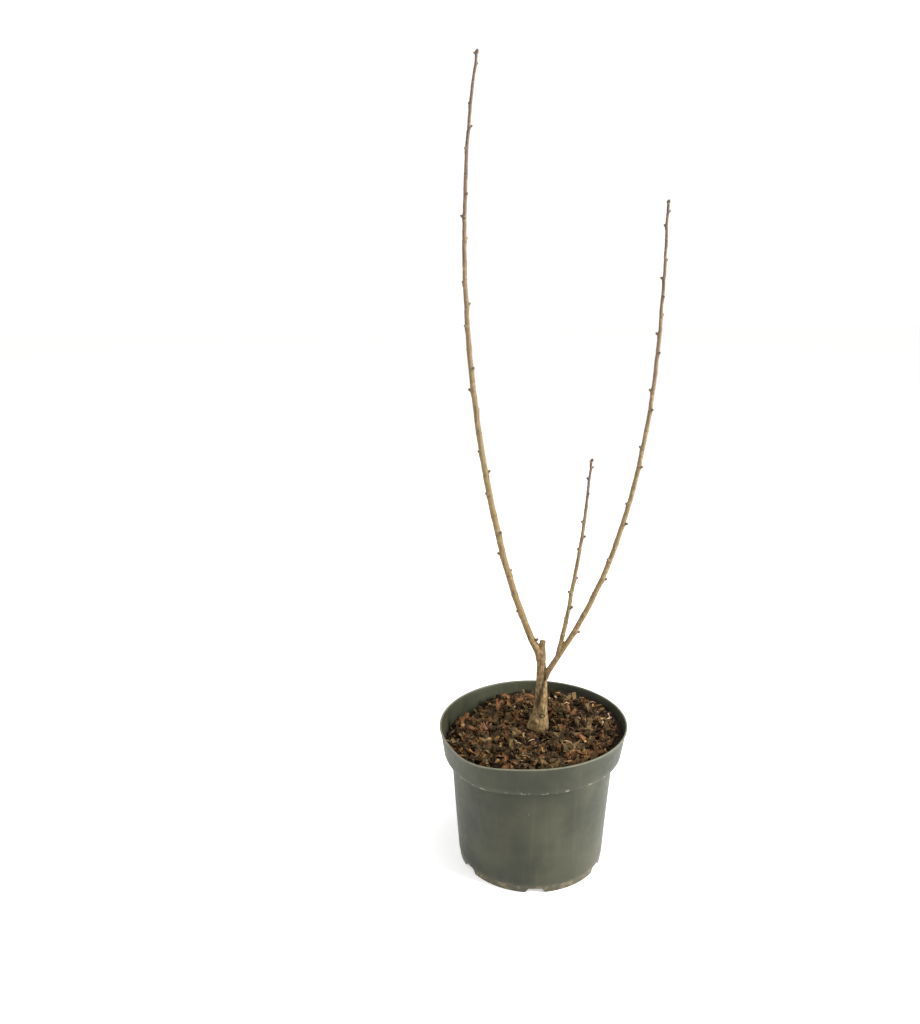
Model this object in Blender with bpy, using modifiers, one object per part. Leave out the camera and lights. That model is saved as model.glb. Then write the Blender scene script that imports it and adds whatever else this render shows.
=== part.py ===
"""Young columnar ginkgo in a round nursery pot, bare of leaves in winter.

A short grafted trunk stands in a plastic pot that is filled with potting mix and topped with
bark mulch. It forks low down into two long shoots, and a thin middle shoot leaves the right one.
Metres, +Z up. The origin is the centre of the pot's flat underside, and the front faces -Y.
"""
import math
import random

import bmesh
import bpy
from mathutils import Matrix, Vector, noise

CLEAR = 0.0003                # air kept between one solid and the next

# Pot, a thin plastic moulding
POT_HEIGHT = 0.176
RIM_RADIUS = 0.1115
BAND_HEIGHT = 0.0350          # the wider band below the rim
BAND_FOOT_RADIUS = 0.1066
NECK_RADIUS = 0.0978          # body just under the band
FOOT_RADIUS = 0.0882
WALL = 0.0016
POT_SIDES = 84
NOTCHES = 6                   # water slots round the foot
NOTCH_HEIGHT = 0.0066
NOTCH_WIDTH = 0.024           # at the bottom
NOTCH_SPLAY = 0.0045          # how far each side leans in up to the top
NOTCH_REACH = 0.012           # how far the cut goes on past the foot
NOTCH_DEPTH = 0.0080
NOTCH_TURN = math.radians(-90.2)
DRAIN_RADIUS = 0.0028

# The rim is pressed out of round, most of all at one corner
RIM_SHIFT = Vector((0.0024, 0.0014, 0.0))
OVAL, OVAL_TURN = 0.0161, math.radians(27.7)
LOBES, LOBES_TURN = 0.0059, math.radians(98.6)
CORNER, CORNER_TURN, CORNER_SPREAD = 0.077, math.radians(-127.2), math.radians(19.4)

# Filling
MIX_TOP = 0.138
MULCH_LEVEL = 0.1570          # height of the bark's surface at the pot's axis
MULCH_RISE = Vector((0.075, 0.060, 0.0))   # it slopes up to the right and to the back
MULCH_DIP = 0.0010            # and drops a little where it meets the wall
HOLLOW, HOLLOW_DEPTH, HOLLOW_SPREAD = Vector((-0.072, 0.074, 0.0)), 0.0070, 0.024
MULCH_LUMPS = 0.0042
LUMP_SCALE, GRAIN_SCALE = 95, 210
MULCH_RINGS = 11
MULCH_SIDES = 60
SEAT_LEVEL = 0.1582           # flat seat under the trunk
SEAT_RADIUS = 0.0250
CHIPS = 52
CHIP_SIZE = 0.0065
CHIP_THICKNESS = 0.0026
CHIP_TILT = 0.45
CHIP_REACH = 0.088            # chips lie within this distance of the pot's axis
SEED = 31

# Trunk
TRUNK_FOOT = Vector((0.0102, 0.0170, SEAT_LEVEL + CLEAR))
TRUNK_BEND = (TRUNK_FOOT, Vector((0.0158, 0.0170, 0.2000)), Vector((0.0146, 0.0166, 0.2350)),
              Vector((0.0108, 0.0164, 0.2500)), Vector((0.0156, 0.0160, 0.2800)))
TRUNK_GIRTH = ((0.0, 0.0134), (0.007, 0.0128), (0.014, 0.0112), (0.024, 0.0089), (0.037, 0.0077),
               (0.056, 0.0069), (0.071, 0.0062), (0.084, 0.0055), (0.097, 0.0054),
               (0.106, 0.0042), (0.113, 0.0033), (0.125, 0.0030))
STUB_TOP = Vector((0.0153, 0.0160, 0.2752))
STUB_SLANT = Vector((0.35, -0.15, 1.0))
ROOT_FLARE, ROOT_LOBES, ROOT_TURN = 0.10, 3, math.radians(185)
FLARE_HEIGHT = 0.013
KNOT, KNOT_SIZE = Vector((0.0040, -0.0078, 0.0215)), 0.0036       # from the trunk's foot
CALLUS, CALLUS_SIZE = Vector((-0.0035, -0.0085, 0.0140)), 0.0040
STUB_BUD, STUB_BUD_SIZE = Vector((-0.0028, -0.0008, -0.0022)), 0.0018
LEFT_ARM_HEIGHT, LEFT_ARM_RADIUS = 0.084, 0.0045

# Shoots: the handles of each one's bend, its thickness at foot and tip, and its buds
LEFT_BEND = (Vector((0.0086, 0.0160, 0.2628)), Vector((-0.0300, 0.0300, 0.3294)),
             Vector((-0.1064, 0.0360, 0.6363)), Vector((-0.0581, 0.0200, 0.9244)))
RIGHT_BEND = (Vector((0.0184, 0.0145, 0.2259)), Vector((0.0181, 0.0110, 0.2527)),
              Vector((0.1520, -0.0100, 0.3817)), Vector((0.1285, -0.0280, 0.6551)),
              Vector((0.1325, -0.0300, 0.7747)))
DIVISION = 0.147              # where along the right shoot the middle one leaves it
MIDDLE_BEND = (Vector((0.0684, 0.0010, 0.4379)), Vector((0.0600, -0.0100, 0.5007)),
               Vector((0.0650, -0.0160, 0.5046)))
LEFT_GIRTH, RIGHT_GIRTH, MIDDLE_GIRTH = (0.0082, 0.0029), (0.0068, 0.0028), (0.0054, 0.0028)
LEFT_START, RIGHT_START, MIDDLE_START = 0.0135, 0.0250, 0.0190
TAPER = 1.4                   # thickness goes slowly at first, faster towards the tip
FOOT_SWELL, FOOT_SWELL_LENGTH = 0.0012, 0.012
NODE_SWELL = 0.05
KINK = 0.0004                 # each length between buds starts a little aside
TIP_BUD_DROP = 0.006
TIP_CROWDING = 0.58           # the last buds stand closer together
CROWN_BUDS, CROWN_DROP, CROWN_SPREAD = 3, 0.0045, 0.45      # stubby buds round each tip
BARK_SIDES = 8
BUD_SIDES = 6


class Buds:
    """Where a shoot's buds sit: counted down from the tip, turned by one angle each time."""

    def __init__(self, gap, gap_growth, first_turn, turn):
        self.gap, self.gap_growth = gap, gap_growth
        self.first_turn, self.turn = math.radians(first_turn), math.radians(turn)

    def stations(self, start, end):
        """Distances along the shoot and turns about it, tip first."""
        found = []
        place, count = end - TIP_BUD_DROP, 0
        while place > start:
            found.append((place, self.first_turn + self.turn * count))
            crowding = 1 - TIP_CROWDING * math.exp(-count / 0.9)
            place -= (self.gap + self.gap_growth * count) * crowding
            count += 1
        return found


LEFT_BUDS = Buds(0.0218, 0.00014, 180, -135)
RIGHT_BUDS = Buds(0.0169, 0.00037, -102, 124)
MIDDLE_BUDS = Buds(0.0180, 0.0, 220, 140)


def clear_scene():
    for item in list(bpy.data.objects):
        bpy.data.objects.remove(item, do_unlink=True)


def new_collection(name):
    group = bpy.data.collections.new(name)
    bpy.context.scene.collection.children.link(group)
    return group


def finish(obj, color, roughness):
    """Give an object its own plain material."""
    surface = bpy.data.materials.new(obj.name)
    surface.use_nodes = True
    shader = surface.node_tree.nodes["Principled BSDF"]
    shader.inputs["Base Color"].default_value = (*color, 1.0)
    shader.inputs["Roughness"].default_value = roughness
    shader.inputs["Metallic"].default_value = 0.0
    obj.data.materials.clear()
    obj.data.materials.append(surface)


def object_from(shape, name, group):
    """Make an object of a bmesh."""
    mesh = bpy.data.meshes.new(name)
    shape.to_mesh(mesh)
    shape.free()
    obj = bpy.data.objects.new(name, mesh)
    group.objects.link(obj)
    return obj


def apply_modifiers(obj):
    graph = bpy.context.evaluated_depsgraph_get()
    mesh = bpy.data.meshes.new_from_object(obj.evaluated_get(graph))
    obj.modifiers.clear()
    obj.data = mesh


def combine(obj, pieces, operation, solver="EXACT"):
    """Join pieces to an object, or cut them out of it, in one step, and drop them."""
    group = new_collection(obj.name + "_" + operation.lower())
    for piece in pieces:
        group.objects.link(piece)
        piece.hide_render = True
        piece.display_type = "WIRE"
    step = obj.modifiers.new(operation.lower(), "BOOLEAN")
    step.operation = operation
    step.operand_type = "COLLECTION"
    step.collection = group
    step.solver = solver
    apply_modifiers(obj)
    for piece in list(group.objects):
        bpy.data.objects.remove(piece, do_unlink=True)
    bpy.data.collections.remove(group)
    keep_outer_skin(obj)


def keep_outer_skin(obj):
    """Drop loose scraps and fill hollows: only the largest closed skin stays."""
    shape = bmesh.new()
    shape.from_mesh(obj.data)
    left, skins = set(shape.faces), []
    while left:
        first = left.pop()
        skin, edge = [first], [first]
        while edge:
            seams = [line for line in edge.pop().edges if len(line.link_faces) == 2]
            for near in {face for line in seams for face in line.link_faces} & left:
                left.remove(near)
                skin.append(near)
                edge.append(near)
        skins.append(skin)
    skins.sort(key=len)
    for skin in skins[:-1]:
        bmesh.ops.delete(shape, geom=skin, context="FACES")
    shape.to_mesh(obj.data)
    shape.free()


def turned(name, profile, sides, group):
    """Turn a profile, given from the top of its outer side downwards, about the Z axis."""
    mesh = bpy.data.meshes.new(name)
    last = len(profile) - 1
    edges = [(index, index + 1 if index < last else 0) for index in range(last + 1)]
    edges = [(here, there) for here, there in edges if profile[here][0] or profile[there][0]]
    mesh.from_pydata([(radius, 0.0, height) for radius, height in profile], edges, [])
    obj = bpy.data.objects.new(name, mesh)
    group.objects.link(obj)
    spin = obj.modifiers.new("turn", "SCREW")
    spin.steps = spin.render_steps = sides
    spin.use_merge_vertices = True
    spin.merge_threshold = 0.0001
    apply_modifiers(obj)
    return obj


def cut_flat(shape, point, normal):
    """Cut a bmesh along a plane, drop what lies beyond it and close the cut."""
    every = shape.verts[:] + shape.edges[:] + shape.faces[:]
    cut = bmesh.ops.bisect_plane(shape, geom=every, plane_co=point, plane_no=normal,
                                 clear_outer=True)
    rim = [item for item in cut["geom_cut"] if isinstance(item, bmesh.types.BMEdge)]
    bmesh.ops.contextual_create(shape, geom=rim)


def out_of_round(place):
    """Where a point of the round pot lies once the soft rim is pressed out of shape."""
    angle = math.atan2(place.y, place.x)
    share = max(0.0, place.z / POT_HEIGHT) ** 2
    off_corner = (angle - CORNER_TURN + math.pi) % (2 * math.pi) - math.pi
    stretch = (OVAL * math.cos(2 * (angle - OVAL_TURN)) + LOBES * math.cos(3 * (angle - LOBES_TURN))
               + CORNER * math.exp(-(off_corner / CORNER_SPREAD) ** 2))
    moved = place + RIM_SHIFT * share
    moved.x += place.x * stretch * share
    moved.y += place.y * stretch * share
    return moved


def press(obj):
    for vertex in obj.data.vertices:
        vertex.co = out_of_round(vertex.co)


def notch_block(name, grow, group):
    """One block for each water slot round the foot: wider at the bottom, grown by a margin."""
    lean = NOTCH_SPLAY / NOTCH_HEIGHT
    bottom = WALL / 2 if grow else -NOTCH_REACH
    blocks = []
    for index in range(NOTCHES):
        shape = bmesh.new()
        bmesh.ops.create_cube(shape, size=1.0)
        for corner in shape.verts:
            high = corner.co.z > 0
            height = NOTCH_HEIGHT + grow if high else bottom
            half = NOTCH_WIDTH / 2 - lean * height + grow * math.hypot(1, lean)
            inset = WALL * (0.5 if high else 1.25)
            outer = FOOT_RADIUS - inset if grow else FOOT_RADIUS + NOTCH_REACH
            along = outer if corner.co.x > 0 else FOOT_RADIUS - NOTCH_DEPTH - grow
            corner.co = Vector((along, math.copysign(half, corner.co.y), height))
        turn = Matrix.Rotation(NOTCH_TURN + index * 2 * math.pi / NOTCHES, 4, "Z")
        bmesh.ops.transform(shape, matrix=turn, verts=shape.verts)
        blocks.append(object_from(shape, f"{name}_{index}", group))
    return blocks


def drain_cutters(group):
    """Upright drain holes through the roof of each water slot."""
    cutters = []
    for index in range(NOTCHES):
        shape = bmesh.new()
        bmesh.ops.create_cone(shape, cap_ends=True, segments=10, radius1=DRAIN_RADIUS,
                              radius2=DRAIN_RADIUS, depth=0.010)
        turn = NOTCH_TURN + index * 2 * math.pi / NOTCHES
        out = FOOT_RADIUS - NOTCH_DEPTH / 2 - WALL / 2
        place = Vector((out * math.cos(turn), out * math.sin(turn), NOTCH_HEIGHT))
        bmesh.ops.translate(shape, verts=shape.verts, vec=place)
        cutters.append(object_from(shape, f"drain_{index}", group))
    return cutters


def make_pot(group, cutters):
    """Moulded pot: thin lip, wide band with a ledge under it, tapered body, slotted foot."""
    ledge = POT_HEIGHT - BAND_HEIGHT
    outer = [(RIM_RADIUS + 0.0006, POT_HEIGHT), (RIM_RADIUS + 0.0006, POT_HEIGHT - 0.0014),
             (RIM_RADIUS - 0.0004, POT_HEIGHT - 0.0022), (BAND_FOOT_RADIUS, ledge + 0.0012),
             (BAND_FOOT_RADIUS - 0.0010, ledge), (NECK_RADIUS, ledge),
             (FOOT_RADIUS + 0.0008, 0.0095), (FOOT_RADIUS + 0.0002, 0.0086),
             (FOOT_RADIUS - 0.0004, 0.0010), (FOOT_RADIUS - 0.0014, 0.0), (0.0, 0.0)]
    inner = [(0.0, WALL), (FOOT_RADIUS - 0.0030, WALL), (FOOT_RADIUS - WALL + 0.0005, 0.0095),
             (NECK_RADIUS - WALL, ledge + WALL), (BAND_FOOT_RADIUS - WALL, ledge + WALL),
             (RIM_RADIUS - WALL + 0.0004, POT_HEIGHT)]
    pot = turned("pot", outer + inner, POT_SIDES, group)
    combine(pot, notch_block("liner", WALL, cutters), "UNION")
    combine(pot, notch_block("notch", 0.0, cutters) + drain_cutters(cutters), "DIFFERENCE")
    press(pot)
    finish(pot, (0.085, 0.092, 0.068), 0.55)
    return pot


def wall_radius(height):
    """Inside radius of the round pot at a height."""
    ledge = POT_HEIGHT - BAND_HEIGHT + WALL
    if height < ledge:
        return FOOT_RADIUS + (NECK_RADIUS - FOOT_RADIUS) * height / ledge - WALL
    share = (height - ledge) / (POT_HEIGHT - ledge)
    return BAND_FOOT_RADIUS + (RIM_RADIUS - BAND_FOOT_RADIUS) * share - WALL


def make_mix(group):
    """Potting mix: one block that fills the pot up to the bark."""
    gap = 4 * CLEAR
    slot_top = NOTCH_HEIGHT + 2 * WALL
    low_radius = FOOT_RADIUS - NOTCH_DEPTH - 3 * WALL
    profile = [(0.0, MIX_TOP), (wall_radius(MIX_TOP) - gap, MIX_TOP),
               (wall_radius(slot_top) - gap, slot_top), (low_radius, slot_top),
               (low_radius, WALL + CLEAR), (0.0, WALL + CLEAR)]
    mix = turned("potting_mix", profile, POT_SIDES // 2, group)
    press(mix)
    finish(mix, (0.045, 0.030, 0.022), 0.95)
    return mix


def mulch_height(place):
    """Height of the bark's surface at a point in plan."""
    away = (place.xy - TRUNK_FOOT.xy).length
    edge = min(1.0, place.xy.length / RIM_RADIUS)
    height = MULCH_LEVEL + MULCH_RISE.dot(place) - MULCH_DIP * edge ** 6
    height -= HOLLOW_DEPTH * math.exp(-((place.xy - HOLLOW.xy).length / HOLLOW_SPREAD) ** 2)
    lump = noise.noise(Vector((place.x, place.y, 0.03)) * LUMP_SCALE)
    lump += 0.5 * noise.noise(Vector((place.x, place.y, 0.04)) * GRAIN_SCALE)
    height += MULCH_LUMPS * lump
    height = max(height, POT_HEIGHT - BAND_HEIGHT + WALL + 0.0025)
    settle = min(1.0, max(0.0, (away - SEAT_RADIUS) / 0.006))
    return SEAT_LEVEL + (height - SEAT_LEVEL) * settle


def chip(draw, name, group):
    """One flat chip of bark, tilted and half sunk in the others."""
    shape = bmesh.new()
    bmesh.ops.create_cone(shape, cap_ends=True, segments=5, radius1=CHIP_SIZE,
                          radius2=CHIP_SIZE * 0.8, depth=CHIP_THICKNESS)
    for corner in shape.verts:
        corner.co.x *= draw.uniform(0.75, 1.35)
        corner.co.y *= draw.uniform(0.45, 0.8)
    turn = (Matrix.Rotation(draw.uniform(0, 2 * math.pi), 4, "Z")
            @ Matrix.Rotation(draw.uniform(-CHIP_TILT, CHIP_TILT), 4, "Y"))
    bmesh.ops.transform(shape, matrix=turn, verts=shape.verts)
    while True:
        angle, out = draw.uniform(0, 2 * math.pi), CHIP_REACH * math.sqrt(draw.random())
        spot = out_of_round(Vector((out * math.cos(angle), out * math.sin(angle), MULCH_LEVEL)))
        if (spot.xy - TRUNK_FOOT.xy).length > SEAT_RADIUS + 1.5 * CHIP_SIZE:
            break
    spot.z = mulch_height(spot) + 0.0005
    bmesh.ops.translate(shape, verts=shape.verts, vec=spot)
    return object_from(shape, name, group)


def make_mulch(group, cutters):
    """Bark mulch: a lumpy layer with single chips standing out of it."""
    gap = 4 * CLEAR
    ledge = POT_HEIGHT - BAND_HEIGHT + WALL
    floor = MIX_TOP + CLEAR
    edge = wall_radius(MULCH_LEVEL) - gap
    top = [(edge * ring / MULCH_RINGS, MULCH_LEVEL) for ring in range(MULCH_RINGS + 1)]
    profile = top + [(wall_radius(ledge + 0.001) - gap, ledge + CLEAR * 2),
                     (wall_radius(floor) - gap, ledge + CLEAR * 2),
                     (wall_radius(floor) - gap, floor), (0.0, floor)]
    mulch = turned("bark_mulch", profile, MULCH_SIDES, group)
    press(mulch)
    surface = [item for item in mulch.data.vertices if item.co.z > MULCH_LEVEL - 0.001]
    for item in surface:
        item.co.z = mulch_height(item.co)
        item.co.xy *= min(1.0, wall_radius(item.co.z) / wall_radius(MULCH_LEVEL))
    draw = random.Random(SEED)
    chips = [chip(draw, f"chip_{index}", cutters) for index in range(CHIPS)]
    combine(mulch, chips, "UNION", "MANIFOLD")
    finish(mulch, (0.115, 0.062, 0.038), 0.9)
    return mulch


def bend_point(handles, share):
    """A point on the smooth bend that a row of handles steers."""
    row = list(handles)
    while len(row) > 1:
        row = [here.lerp(there, share) for here, there in zip(row, row[1:])]
    return row[0]


def walk(handles, steps=400):
    """Points along a bend, each with its distance from the start."""
    points = [bend_point(handles, index / steps) for index in range(steps + 1)]
    path, run = [(0.0, points[0])], 0.0
    for here, there in zip(points, points[1:]):
        run += (there - here).length
        path.append((run, there))
    return path


def at_distance(path, distance):
    """The point and the direction of a path at a distance from its start."""
    for (before, here), (after, there) in zip(path, path[1:]):
        if distance <= after:
            break
    share = (distance - before) / (after - before)
    return here.lerp(there, share), (there - here).normalized()


def tube(name, points, radii, group, sides):
    """A solid limb along points, with a flat end across the path at each end."""
    curve = bpy.data.curves.new(name, "CURVE")
    curve.dimensions = "3D"
    curve.bevel_depth = 1.0
    curve.bevel_resolution = sides // 2 - 2
    curve.use_fill_caps = True
    line = curve.splines.new("POLY")
    line.points.add(len(points) - 1)
    for knot, point, radius in zip(line.points, points, radii):
        knot.co = (*point, 1.0)
        knot.radius = radius
    guide = bpy.data.objects.new(name + "_line", curve)
    group.objects.link(guide)
    graph = bpy.context.evaluated_depsgraph_get()
    mesh = bpy.data.meshes.new_from_object(guide.evaluated_get(graph))
    bpy.data.objects.remove(guide, do_unlink=True)
    shape = bmesh.new()
    shape.from_mesh(mesh)
    bpy.data.meshes.remove(mesh)
    bmesh.ops.remove_doubles(shape, verts=shape.verts, dist=0.00001)
    return shape


def shoot_radius(distance, length, girth):
    base, tip = girth
    share = min(1.0, max(0.0, distance / length))
    thick = tip + (base - tip) * (1 - share ** TAPER)
    thick += FOOT_SWELL * math.exp(-distance / FOOT_SWELL_LENGTH)
    return thick / 2


def outward(direction, turn):
    """The unit direction out of a limb's side, square to the limb, for a turn about it."""
    side = Vector((math.cos(turn), math.sin(turn), 0.0))
    return (side - direction * side.dot(direction)).normalized()


def bud(name, place, direction, side, radius, age, group):
    """A bud on its short spur: a blunt cone that leans up along the shoot."""
    length = radius + 0.0028 + 0.0014 * age
    shape = bmesh.new()
    bmesh.ops.create_cone(shape, cap_ends=True, segments=BUD_SIDES, radius1=0.55 * radius + 0.0004,
                          radius2=0.0005 + 0.0003 * age, depth=length)
    lean = (side + direction * 0.75).normalized()
    turn = lean.to_track_quat("Z", "Y").to_matrix().to_4x4()
    bmesh.ops.translate(shape, verts=shape.verts, vec=Vector((0, 0, length / 2)))
    bmesh.ops.transform(shape, matrix=Matrix.Translation(place) @ turn, verts=shape.verts)
    return object_from(shape, name, group)


def limb(path, start, end, length, girth, buds):
    """Points and radii of a shoot between two distances, kinked and swollen at each bud."""
    marks = sorted((place, turn) for place, turn in buds.stations(0.0, length))
    places = [(start, None), (end, None)]
    for (here, turn), (there, _) in zip(marks, marks[1:] + [(length - 0.002, None)]):
        places += [(here, turn), ((here + there) / 2, None)]
    inside = {round(place, 5): turn for place, turn in places if start <= place <= end}
    points, radii = [], []
    for place in sorted(inside):
        point, direction = at_distance(path, place)
        radius = shoot_radius(place, length, girth)
        if inside[place] is not None:
            point = point + outward(direction, inside[place]) * KINK
            radius *= 1 + NODE_SWELL
        points.append(point)
        radii.append(radius)
    return points, radii


def make_shoot(name, handles, start, girth, buds, group, cutters, arm=None):
    """A long shoot from its flat foot to its pointed tip, with its buds fused on."""
    path = walk(handles)
    length = path[-1][0]
    points, radii = limb(path, start + CLEAR / 2, length, length, girth, buds)
    radii[-1] = 0.00045
    shoot = object_from(tube(name, points, radii, group, BARK_SIDES), name, group)
    pieces = []
    for index, (place, turn) in enumerate(buds.stations(start + 0.010, length)):
        point, direction = at_distance(path, place)
        side = outward(direction, turn)
        radius = shoot_radius(place, length, girth)
        age = 1 - place / length
        pieces.append(bud(f"{name}_bud_{index}", point + side * KINK, direction, side, radius,
                          age, cutters))
    point, direction = at_distance(path, length - CROWN_DROP)
    for index in range(CROWN_BUDS):
        side = CROWN_SPREAD * outward(direction, 0.4 + 2 * math.pi * index / CROWN_BUDS)
        radius = shoot_radius(length, length, girth)
        pieces.append(bud(f"{name}_tip_{index}", point, direction, side, radius, 0.0, cutters))
    if arm:
        pieces.append(arm)
    combine(shoot, pieces, "UNION")
    return shoot


def collar(name, handles, reach, girth, group):
    """The short flat-ended arm that a limb holds out to carry a shoot."""
    path = walk(handles)
    length = path[-1][0]
    places = [reach * index / 3 for index in range(3)] + [reach - CLEAR / 2]
    points = [at_distance(path, place)[0] for place in places]
    radii = [shoot_radius(place, length, girth) for place in places]
    return object_from(tube(name, points, radii, group, BARK_SIDES), name, group)


def trunk_radius(height):
    for (low, thin), (high, thick) in zip(TRUNK_GIRTH, TRUNK_GIRTH[1:]):
        if height <= high:
            break
    return thin + (thick - thin) * min(1.0, max(0.0, (height - low) / (high - low)))


def knob(name, place, radius, group):
    """A knot or callus on the trunk: a small rounded lump."""
    shape = bmesh.new()
    bmesh.ops.create_uvsphere(shape, u_segments=10, v_segments=6, radius=radius)
    bmesh.ops.translate(shape, verts=shape.verts, vec=place)
    return object_from(shape, name, group)


def make_trunk(group, cutters):
    """Grafted trunk: flared foot cut flat at the bark's surface, knots, collars and cut stub."""
    path = walk(TRUNK_BEND)
    stations = [low for low, _ in TRUNK_GIRTH[1:]]
    below = TRUNK_FOOT - Vector((0, 0, 0.004))
    points = [below, TRUNK_FOOT + Vector((0, 0, 0.002))]
    points += [at_distance(path, place)[0] for place in stations]
    radii = [trunk_radius(0.0), trunk_radius(0.002)] + [trunk_radius(place) for place in stations]
    shape = tube("trunk", points, radii, group, 2 * BARK_SIDES)
    for item in shape.verts:
        height = item.co.z - TRUNK_FOOT.z
        away = item.co.xy - TRUNK_FOOT.xy
        turn = math.atan2(away.y, away.x)
        flare = ROOT_FLARE * math.exp(-abs(height) / FLARE_HEIGHT)
        away *= 1 + flare * math.cos(ROOT_LOBES * (turn - ROOT_TURN))
        if height < 3 * FLARE_HEIGHT:
            item.co.x, item.co.y = TRUNK_FOOT.x + away.x, TRUNK_FOOT.y + away.y
    cut_flat(shape, TRUNK_FOOT, Vector((0, 0, -1)))
    cut_flat(shape, STUB_TOP, STUB_SLANT.normalized())
    trunk = object_from(shape, "trunk", group)
    pieces = [knob("knot", TRUNK_FOOT + KNOT, KNOT_SIZE, cutters),
              knob("callus", TRUNK_FOOT + CALLUS, CALLUS_SIZE, cutters),
              knob("stub_bud", STUB_TOP + STUB_BUD, STUB_BUD_SIZE, cutters)]
    root = at_distance(path, LEFT_ARM_HEIGHT)[0]
    pieces.append(left_arm(root, cutters))
    pieces.append(collar("right_arm", RIGHT_BEND, RIGHT_START, RIGHT_GIRTH, cutters))
    combine(trunk, pieces, "UNION")
    finish(trunk, (0.235, 0.180, 0.115), 0.85)
    return trunk


def left_arm(root, group):
    """The trunk's arm to the left shoot, from inside the trunk."""
    path = walk(LEFT_BEND)
    length = path[-1][0]
    places = [0.0, LEFT_START / 2, LEFT_START - CLEAR / 2]
    points = [root] + [at_distance(path, place)[0] for place in places]
    radii = [LEFT_ARM_RADIUS] + [shoot_radius(place, length, LEFT_GIRTH) for place in places]
    return object_from(tube("left_arm", points, radii, group, BARK_SIDES), "left_arm", group)


def main():
    clear_scene()
    plant = new_collection("potted_ginkgo")
    cutters = new_collection("cutters")
    make_pot(plant, cutters)
    make_mix(plant)
    make_mulch(plant, cutters)
    make_trunk(plant, cutters)
    middle_bend = (bend_point(RIGHT_BEND, DIVISION),) + MIDDLE_BEND
    left = make_shoot("left_shoot", LEFT_BEND, LEFT_START, LEFT_GIRTH, LEFT_BUDS, plant, cutters)
    arm = collar("middle_arm", middle_bend, MIDDLE_START, MIDDLE_GIRTH, cutters)
    right = make_shoot("right_shoot", RIGHT_BEND, RIGHT_START, RIGHT_GIRTH, RIGHT_BUDS, plant,
                       cutters, arm)
    middle = make_shoot("middle_shoot", middle_bend, MIDDLE_START, MIDDLE_GIRTH, MIDDLE_BUDS,
                        plant, cutters)
    for shoot in (left, right, middle):
        finish(shoot, (0.330, 0.235, 0.150), 0.75)


main()
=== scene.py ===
"""Looks of a young columnar ginkgo, bare of leaves in winter, in its nursery pot.

Metres, +Z up. The origin is the centre of the pot's flat underside, and the front faces -Y.
"""
import math
import random

import bpy
from mathutils import Matrix, Vector, kdtree, noise


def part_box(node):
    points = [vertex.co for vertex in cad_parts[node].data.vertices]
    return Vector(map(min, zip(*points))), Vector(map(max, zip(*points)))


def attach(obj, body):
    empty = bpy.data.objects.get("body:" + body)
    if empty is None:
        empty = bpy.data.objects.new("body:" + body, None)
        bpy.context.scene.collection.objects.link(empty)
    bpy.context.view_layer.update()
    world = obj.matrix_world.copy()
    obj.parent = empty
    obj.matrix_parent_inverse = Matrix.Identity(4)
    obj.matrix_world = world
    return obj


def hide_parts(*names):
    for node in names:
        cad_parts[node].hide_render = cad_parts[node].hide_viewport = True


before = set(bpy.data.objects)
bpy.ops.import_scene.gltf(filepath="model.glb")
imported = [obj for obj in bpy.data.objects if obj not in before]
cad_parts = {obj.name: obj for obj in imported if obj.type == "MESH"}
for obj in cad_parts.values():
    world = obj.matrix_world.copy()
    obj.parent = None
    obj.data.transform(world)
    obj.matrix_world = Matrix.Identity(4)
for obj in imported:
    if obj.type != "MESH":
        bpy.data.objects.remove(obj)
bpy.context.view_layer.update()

# Pot: a thin round nursery pot, moulded in one piece from dark green-grey plastic, with a wide
# band under its lip and water slots round its foot. Handling has pressed the soft rim out of
# round and scuffed its edges pale. The pale line round the top of the lip is partly that wear
# and partly a painted highlight.
POT_HEIGHT = float(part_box("pot")[1][2])
RIM_RADIUS = 0.1115
BAND_HEIGHT = 0.0350
BAND_FOOT_RADIUS = 0.1066
NECK_RADIUS = 0.0978
FOOT_RADIUS = 0.0882
WALL = 0.0016
POT_SIDES = 180
RING_STEP = 0.007
NOTCHES = 6
NOTCH_HEIGHT, NOTCH_WIDTH, NOTCH_SPLAY = 0.0066, 0.024, 0.0045
NOTCH_DEPTH, NOTCH_REACH = 0.0080, 0.012
NOTCH_TURN = math.radians(-90.2)
RIM_SHIFT = Vector((0.0024, 0.0014, 0.0))
OVAL, OVAL_TURN = 0.0161, math.radians(27.7)
LOBES, LOBES_TURN = 0.0059, math.radians(98.6)
CORNER, CORNER_TURN, CORNER_SPREAD = 0.077, math.radians(-127.2), math.radians(19.4)
EDGE_ROUNDING, BEVEL_ANGLE, SMOOTH_ANGLE = 0.0004, math.radians(40), math.radians(35)
FOOT_CHAMFER, FOOT_STEP, FLOOR_DISC = 0.0010, 0.0095, 0.0200
LEDGE_ROUNDING, LIP_HEIGHT, LIP_REACH = 0.0012, 0.0014, 0.0006
PLASTIC = (0.051, 0.052, 0.030)
PLASTIC_DARK = (0.028, 0.030, 0.018)
# Pale scuff colour, also used for the painted highlight along the top of the lip.
PLASTIC_WEAR_AND_HIGHLIGHT = (0.225, 0.220, 0.155)
DUST = (0.190, 0.150, 0.092)
# How fine the plastic's patterns are, along x, y and z or all ways alike.
STREAKS, SCRATCHES = (150, 150, 9), (260, 260, 40)
CLOUD_SCALE, PATCH_SCALE, SPECK_SCALE, STIPPLE_SCALE = 17.0, 130.0, 210.0, 900.0
WORN_FOOT, CLEAN_FOOT = 0.0065, 0.0125
PLASTIC_RELIEF, PLASTIC_SHINE = 0.00030, 0.22


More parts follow.
